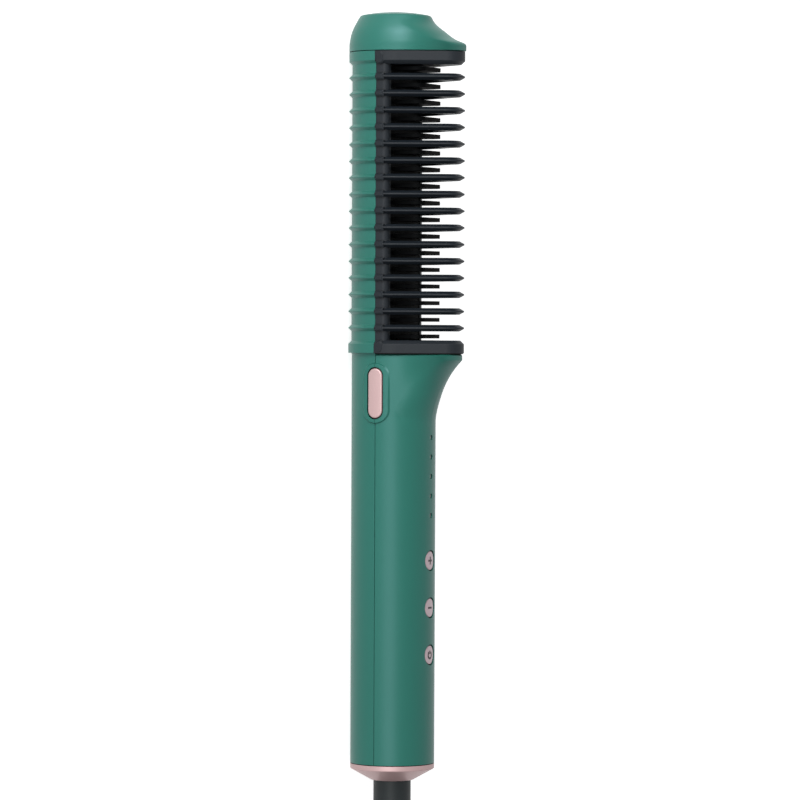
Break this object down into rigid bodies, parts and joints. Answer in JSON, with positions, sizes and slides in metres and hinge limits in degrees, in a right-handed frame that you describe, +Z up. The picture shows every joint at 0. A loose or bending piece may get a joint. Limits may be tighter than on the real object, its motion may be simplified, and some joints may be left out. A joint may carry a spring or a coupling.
{
  "type": "hair straightening brush",
  "caption": "Round-handled hair straightening brush with a heated comb under a hooped fin guard, push buttons, lamps, a swivel lead and a tied hank of cord.",
  "frame": {"origin": "on the table, under the middle of the brush's length from its strain relief to its top, centred across it; the cord, its hank and plug are left out of that length", "axes": "+X along the brush to its lead, -X to its head, +Z up the way the teeth point, +Y across it"},
  "size_m": [0.5481, 0.0488, 0.0471],
  "materials": {
    "satin_green": "satin, soft sheen",
    "guard_black": "fine satin",
    "comb_coating": "smooth dark coating on aluminium",
    "rose_gold": "pearl rose gold",
    "smoked_lens": "smoked",
    "board_green": "solder mask",
    "black_plastic": "moulded",
    "white_plastic": "moulded",
    "yellow_plastic": "moulded",
    "capacitor_sleeve": "shrink sleeve",
    "zinc_steel": "zinc plated",
    "heatproof_plastic": "glass filled",
    "ceramic_white": "fired",
    "insulation_sheet": "film",
    "spring_steel": "rolled",
    "glass_bead": "bead",
    "red_insulation": "silicone",
    "blue_insulation": "silicone",
    "dark_plastic": "satin",
    "contact_brass": "turned",
    "cord_rubber": "satin",
    "tie_fabric": "hook and loop",
    "nickel_steel": "nickel plated"
  },
  "bodies": {
    "casing": {"back_shell": "satin_green", "front_shell": "satin_green", "top_cap": "satin_green", "comb_guard": "guard_black", "heating_comb": "comb_coating", "end_cap": "rose_gold", "side_insert_left": "rose_gold", "side_insert_right": "rose_gold", "led_guide": "smoked_lens", "control_board": "board_green", "tact_switches": "black_plastic", "led_chips": "white_plastic", "film_capacitor": "yellow_plastic", "reservoir_capacitor": "capacitor_sleeve", "triac": "black_plastic", "microcontroller": "black_plastic", "board_screws": "zinc_steel", "heater_carrier": "heatproof_plastic", "ceramic_heaters": "ceramic_white", "heater_insulation": "insulation_sheet", "heater_clips": "spring_steel", "thermistor": "glass_bead", "thermal_fuse": "white_plastic", "carrier_screws": "zinc_steel", "heater_leads": "red_insulation", "supply_leads": "blue_insulation", "contact_carrier": "heatproof_plastic", "contact_brushes": "contact_brass", "cord": "cord_rubber", "cord_hank": "cord_rubber", "cord_tie": "tie_fabric", "plug_body": "cord_rubber", "plug_pins": "nickel_steel"},
    "button_plus": {"button_plus": "rose_gold"},
    "button_minus": {"button_minus": "rose_gold"},
    "button_power": {"button_power": "rose_gold"},
    "swivel": {"swivel_boss": "dark_plastic", "slip_rings": "contact_brass", "strain_relief": "cord_rubber"}
  },
  "joints": [
    {"name": "button_plus_press", "type": "slide", "parent": "casing", "child": "button_plus", "axis": [0, 0, -1], "range_m": [0, 0.0006], "stiffness_N_per_m": 900, "springref_m": -0.0003},
    {"name": "button_minus_press", "type": "slide", "parent": "casing", "child": "button_minus", "axis": [0, 0, -1], "range_m": [0, 0.0006], "stiffness_N_per_m": 900, "springref_m": -0.0003},
    {"name": "button_power_press", "type": "slide", "parent": "casing", "child": "button_power", "axis": [0, 0, -1], "range_m": [0, 0.0006], "stiffness_N_per_m": 900, "springref_m": -0.0003},
    {"name": "cord_swivel", "type": "hinge", "parent": "casing", "child": "swivel", "pos_m": [0.12, 0, 0.0176], "axis": [1, 0, 0], "continuous": true}
  ]
}
